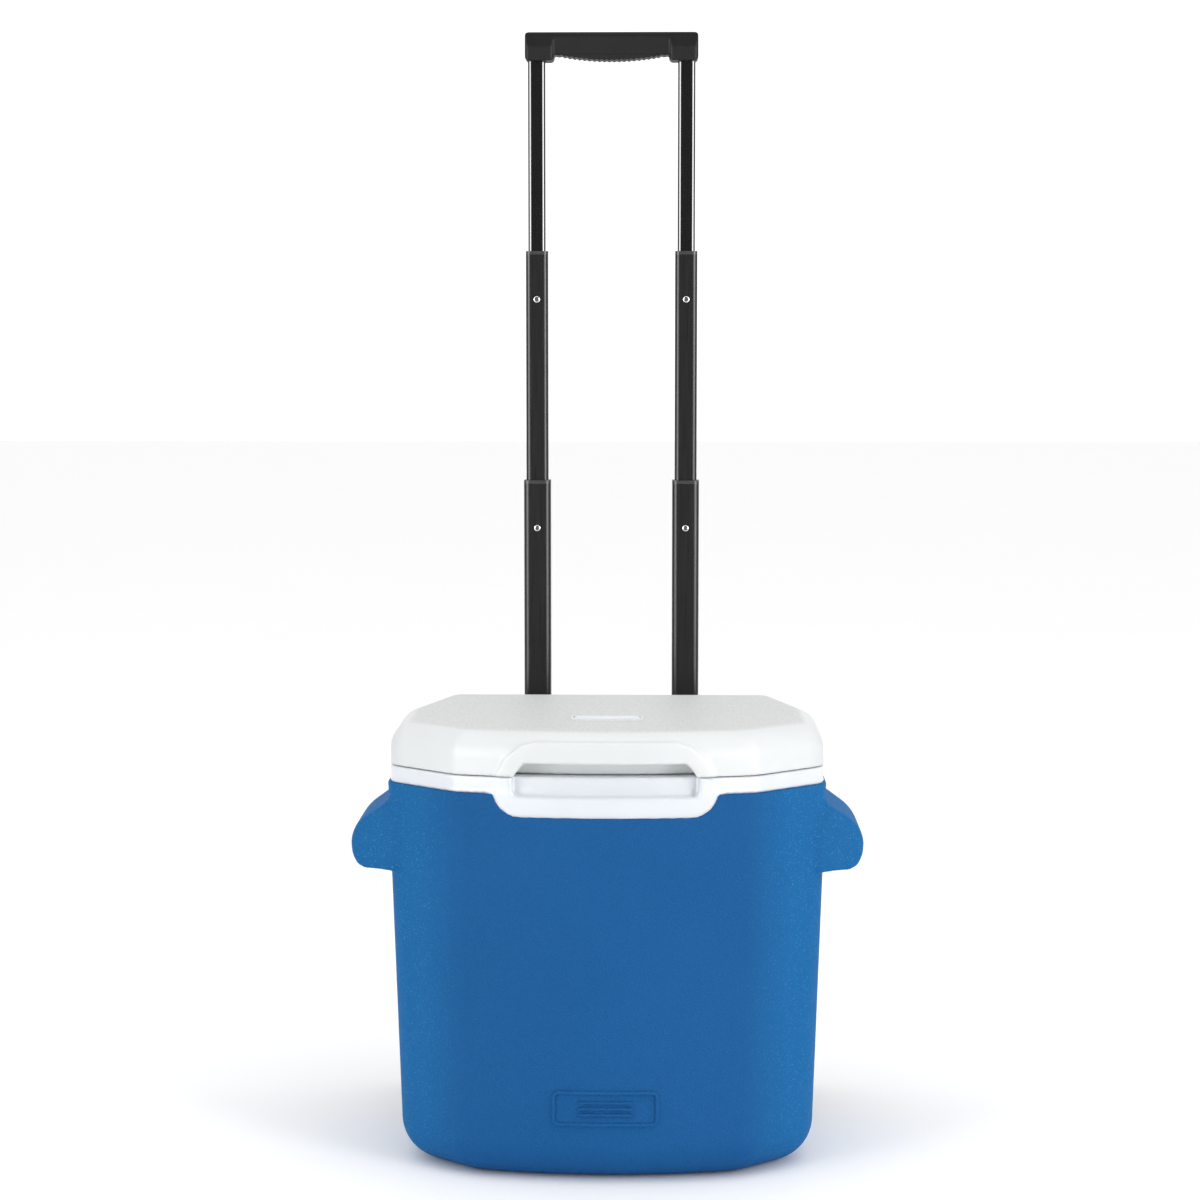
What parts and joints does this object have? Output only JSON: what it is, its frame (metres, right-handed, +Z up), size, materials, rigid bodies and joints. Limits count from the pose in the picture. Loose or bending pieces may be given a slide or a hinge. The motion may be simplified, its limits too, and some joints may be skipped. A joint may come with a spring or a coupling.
{
  "type": "wheeled cooler",
  "caption": "Small hard-sided wheeled cooler: tapered octagonal insulated tub with a rolled-edge hinged lid, hollow side grips and a telescopic pull handle with snap buttons.",
  "frame": {"origin": "on the floor, under the middle of the whole object's footprint", "axes": "+X to the cooler's right as seen from its front, +Y to the back, where the handle is, +Z up"},
  "size_m": [0.423, 0.3159, 0.946],
  "materials": {
    "blue_shell": "moulded polypropylene, fine pebble grain",
    "white_liner": "smooth moulded polyethylene",
    "white_lid": "moulded polyethylene, light grain on top",
    "foam": "rigid closed-cell foam",
    "black_plastic": "moulded, satin",
    "grip_plastic": "moulded, satin",
    "guide_plastic": "acetal",
    "handle_tube": "black satin coat",
    "handle_tube_gloss": "black gloss coat",
    "steel": "zinc plated",
    "button_chrome": "polished",
    "wheel_plastic": "moulded",
    "wheel_tread": "moulded, ribbed"
  },
  "bodies": {
    "cooler_body": {"outer_shell": "blue_shell", "foam_insulation": "foam", "inner_liner": "white_liner", "upper_handle_bracket": "black_plastic", "lower_handle_bracket": "black_plastic", "upper_bracket_screws": "steel", "lower_bracket_screws": "steel", "sleeve_left": "handle_tube", "sleeve_right": "handle_tube", "sleeve_bush_left": "guide_plastic", "sleeve_bush_right": "guide_plastic", "hinge_pin_left": "steel", "hinge_pin_right": "steel", "wheel_axle": "steel", "axle_washers": "steel", "axle_push_nuts": "steel"},
    "lid": {"lid_shell": "white_lid", "lid_panel": "white_liner"},
    "left_wheel": {"wheel_left": "wheel_plastic", "wheel_tread_left": "wheel_tread"},
    "right_wheel": {"wheel_right": "wheel_plastic", "wheel_tread_right": "wheel_tread"},
    "left_stage_1": {"stage_1_tube_left": "handle_tube", "stage_1_bush_left": "guide_plastic", "stage_1_slider_left": "guide_plastic", "stage_1_spring_left": "steel"},
    "left_stage_2": {"stage_2_tube_left": "handle_tube", "stage_2_bush_left": "guide_plastic", "stage_2_slider_left": "guide_plastic", "stage_2_spring_left": "steel"},
    "right_stage_1": {"stage_1_tube_right": "handle_tube", "stage_1_bush_right": "guide_plastic", "stage_1_slider_right": "guide_plastic", "stage_1_spring_right": "steel"},
    "right_stage_2": {"stage_2_tube_right": "handle_tube", "stage_2_bush_right": "guide_plastic", "stage_2_slider_right": "guide_plastic", "stage_2_spring_right": "steel"},
    "handle_top": {"stage_3_tube_left": "handle_tube_gloss", "stage_3_slider_left": "guide_plastic", "stage_3_spring_left": "steel", "stage_3_tube_right": "handle_tube_gloss", "stage_3_slider_right": "guide_plastic", "stage_3_spring_right": "steel", "grip": "grip_plastic", "grip_pins": "steel"},
    "left_button_1": {"stage_1_button_left": "button_chrome"},
    "left_button_2": {"stage_2_button_left": "button_chrome"},
    "left_button_3": {"stage_3_button_left": "button_chrome"},
    "right_button_1": {"stage_1_button_right": "button_chrome"},
    "right_button_2": {"stage_2_button_right": "button_chrome"},
    "right_button_3": {"stage_3_button_right": "button_chrome"}
  },
  "joints": [
    {"name": "lid_hinge", "type": "hinge", "parent": "cooler_body", "child": "lid", "pos_m": [0, 0.11075, 0.356], "axis": [-1, 0, 0], "range_deg": [0, 92.5]},
    {"name": "left_wheel_spin", "type": "hinge", "parent": "cooler_body", "child": "left_wheel", "pos_m": [-0.142, 0.10325, 0.055], "axis": [1, 0, 0], "continuous": true},
    {"name": "right_wheel_spin", "type": "hinge", "parent": "cooler_body", "child": "right_wheel", "pos_m": [0.142, 0.10325, 0.055], "axis": [1, 0, 0], "continuous": true},
    {"name": "left_stage_1_slide", "type": "slide", "parent": "cooler_body", "child": "left_stage_1", "axis": [0, 0, 1], "range_m": [-0.204, 0], "deforming": ["stage_1_button_left"]},
    {"name": "left_stage_2_slide", "type": "slide", "parent": "left_stage_1", "child": "left_stage_2", "axis": [0, 0, 1], "range_m": [-0.2, 0], "deforming": ["stage_2_button_left"]},
    {"name": "right_stage_1_slide", "type": "slide", "parent": "cooler_body", "child": "right_stage_1", "axis": [0, 0, 1], "range_m": [-0.204, 0], "deforming": ["stage_1_button_right"]},
    {"name": "right_stage_2_slide", "type": "slide", "parent": "right_stage_1", "child": "right_stage_2", "axis": [0, 0, 1], "range_m": [-0.2, 0], "deforming": ["stage_2_button_right"]},
    {"name": "handle_top_slide", "type": "slide", "parent": "left_stage_2", "child": "handle_top", "axis": [0, 0, 1], "range_m": [-0.164, 0], "deforming": ["stage_3_button_left", "stage_3_button_right"]},
    {"name": "left_button_1_press", "type": "slide", "parent": "left_stage_1", "child": "left_button_1", "axis": [0, 1, 0], "range_m": [0, 0.0026], "stiffness_N_per_m": 800, "springref_m": -0.002, "deforming": ["stage_1_spring_left"]},
    {"name": "left_button_2_press", "type": "slide", "parent": "left_stage_2", "child": "left_button_2", "axis": [0, 1, 0], "range_m": [0, 0.0026], "stiffness_N_per_m": 800, "springref_m": -0.002, "deforming": ["stage_2_spring_left"]},
    {"name": "left_button_3_press", "type": "slide", "parent": "handle_top", "child": "left_button_3", "axis": [0, 1, 0], "range_m": [0, 0.0026], "stiffness_N_per_m": 800, "springref_m": -0.002, "deforming": ["stage_3_spring_left"]},
    {"name": "right_button_1_press", "type": "slide", "parent": "right_stage_1", "child": "right_button_1", "axis": [0, 1, 0], "range_m": [0, 0.0026], "stiffness_N_per_m": 800, "springref_m": -0.002, "deforming": ["stage_1_spring_right"]},
    {"name": "right_button_2_press", "type": "slide", "parent": "right_stage_2", "child": "right_button_2", "axis": [0, 1, 0], "range_m": [0, 0.0026], "stiffness_N_per_m": 800, "springref_m": -0.002, "deforming": ["stage_2_spring_right"]},
    {"name": "right_button_3_press", "type": "slide", "parent": "handle_top", "child": "right_button_3", "axis": [0, 1, 0], "range_m": [0, 0.0026], "stiffness_N_per_m": 800, "springref_m": -0.002, "deforming": ["stage_3_spring_right"]}
  ],
  "couplings": [
    {"joint": "right_stage_1_slide", "follows": "left_stage_1_slide", "ratio": 1},
    {"joint": "right_stage_2_slide", "follows": "left_stage_2_slide", "ratio": 1}
  ]
}
